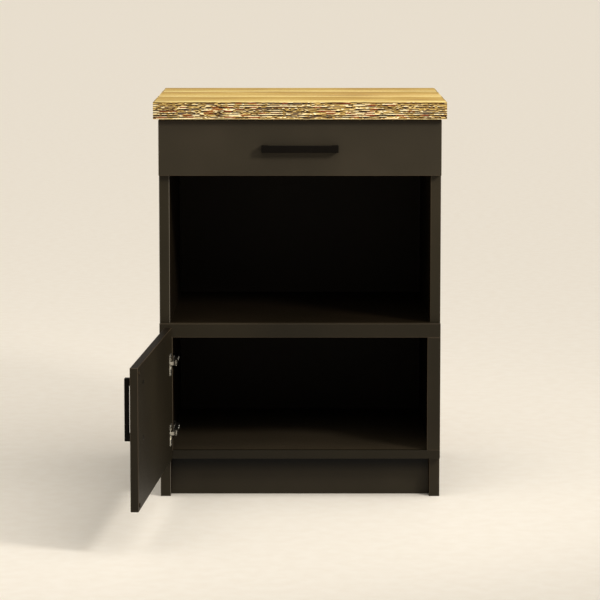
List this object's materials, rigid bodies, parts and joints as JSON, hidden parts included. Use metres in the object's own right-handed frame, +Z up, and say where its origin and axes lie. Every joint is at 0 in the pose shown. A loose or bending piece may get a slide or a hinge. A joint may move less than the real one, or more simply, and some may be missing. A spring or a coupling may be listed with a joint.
{
  "type": "microwave cabinet",
  "caption": "Free-standing kitchen cabinet with an oak-effect worktop, a drawer, an open appliance niche and a lower compartment with a side-hung door.",
  "frame": {"origin": "on the floor, on the cabinet's centre line, in the middle of the plinth board's lower face", "axes": "+X to the right, +Y to the wall behind, +Z up"},
  "size_m": [0.6543, 1.1855, 0.85],
  "materials": {
    "oak_top": "oak-effect laminate, smooth, straight grain along the width",
    "oak_edge": "oak-effect edge strip, rough-sawn relief with dark grain",
    "dark_panel": "brown-black melamine, fine satin",
    "dark_inner": "brown-black melamine, fine satin, inside parts",
    "back_board": "dark lacquered hardboard, matt",
    "dark_front": "brown-black melamine, fine satin, front",
    "dark_frame": "brown-black melamine, fine satin, frame and door",
    "beech": "raw beech dowel",
    "zinc": "zinc-plated steel",
    "black_handle": "black powder coat, satin",
    "runner_steel": "bright zinc-plated runner steel",
    "hinge_steel": "nickel-plated hinge steel",
    "felt": "dark brown felt pad",
    "black_screw": "blackened steel screw"
  },
  "bodies": {
    "root": {"worktop": "oak_top", "worktop_front_edge": "oak_edge", "worktop_end_edges": "oak_edge", "side_panel_left": "dark_panel", "side_panel_right": "dark_panel", "floor_panel": "dark_panel", "middle_shelf": "dark_panel", "plinth_board": "dark_panel", "drawer_divider": "dark_inner", "front_stretcher": "dark_inner", "back_stretcher": "dark_inner", "back_panel": "back_board", "frame_top_rail": "dark_frame", "frame_bottom_rail": "dark_frame", "frame_stile_left": "dark_frame", "frame_stile_right": "dark_frame", "wood_dowels": "beech", "cam_bolts": "zinc", "cam_locks": "zinc", "worktop_screws": "zinc", "back_panel_nails": "zinc", "runner_cabinet_screws": "zinc", "hinge_arm_pins": "zinc", "hinge_plate_screws": "zinc", "hinge_arm_screws": "zinc", "runner_cabinet_left": "runner_steel", "runner_cabinet_right": "runner_steel", "hinge_arms": "hinge_steel", "hinge_plates": "hinge_steel"},
    "drawer": {"drawer_front": "dark_front", "drawer_side_left": "dark_inner", "drawer_side_right": "dark_inner", "drawer_inner_front": "dark_inner", "drawer_back": "dark_inner", "drawer_bottom": "back_board", "drawer_box_screws": "zinc", "drawer_front_screws": "zinc", "drawer_handle": "black_handle", "drawer_handle_screws": "black_screw", "runner_drawer_left": "runner_steel", "runner_drawer_right": "runner_steel", "runner_drawer_screws": "zinc"},
    "runner_middles": {"runner_middle_left": "runner_steel", "runner_middle_right": "runner_steel"},
    "runner_outer_balls": {"runner_outer_balls": "runner_steel"},
    "runner_inner_balls": {"runner_inner_balls": "runner_steel"},
    "hinge_links": {"hinge_links": "hinge_steel"},
    "door": {"door_panel": "dark_frame", "door_handle": "black_handle", "door_handle_screws": "black_screw", "door_pads": "felt", "hinge_cups": "hinge_steel", "hinge_cup_screws": "zinc", "hinge_cup_pins": "zinc"}
  },
  "joints": [
    {"name": "drawer_slide", "type": "slide", "parent": "root", "child": "drawer", "axis": [0, -1, 0], "range_m": [0, 0.48]},
    {"name": "runner_middles_slide", "type": "slide", "parent": "root", "child": "runner_middles", "axis": [0, -1, 0], "range_m": [0, 0.24]},
    {"name": "runner_outer_balls_slide", "type": "slide", "parent": "root", "child": "runner_outer_balls", "axis": [0, -1, 0], "range_m": [0, 0.12]},
    {"name": "runner_inner_balls_slide", "type": "slide", "parent": "root", "child": "runner_inner_balls", "axis": [0, -1, 0], "range_m": [0, 0.36]},
    {"name": "hinge_links_turn", "type": "hinge", "parent": "root", "child": "hinge_links", "pos_m": [-0.266, -0.063, 0], "axis": [0, 0, 1], "range_deg": [-53.85, 2.5]},
    {"name": "door_turn", "type": "hinge", "parent": "hinge_links", "child": "door", "pos_m": [-0.27846, -0.0783, 0], "axis": [0, 0, 1], "range_deg": [-6.6, 147.54]}
  ],
  "couplings": [
    {"joint": "runner_middles_slide", "follows": "drawer_slide", "ratio": 0.5},
    {"joint": "runner_outer_balls_slide", "follows": "drawer_slide", "ratio": 0.25},
    {"joint": "runner_inner_balls_slide", "follows": "drawer_slide", "ratio": 0.75},
    {"joint": "hinge_links_turn", "follows": "door_turn", "ratio": -0.36427}
  ]
}
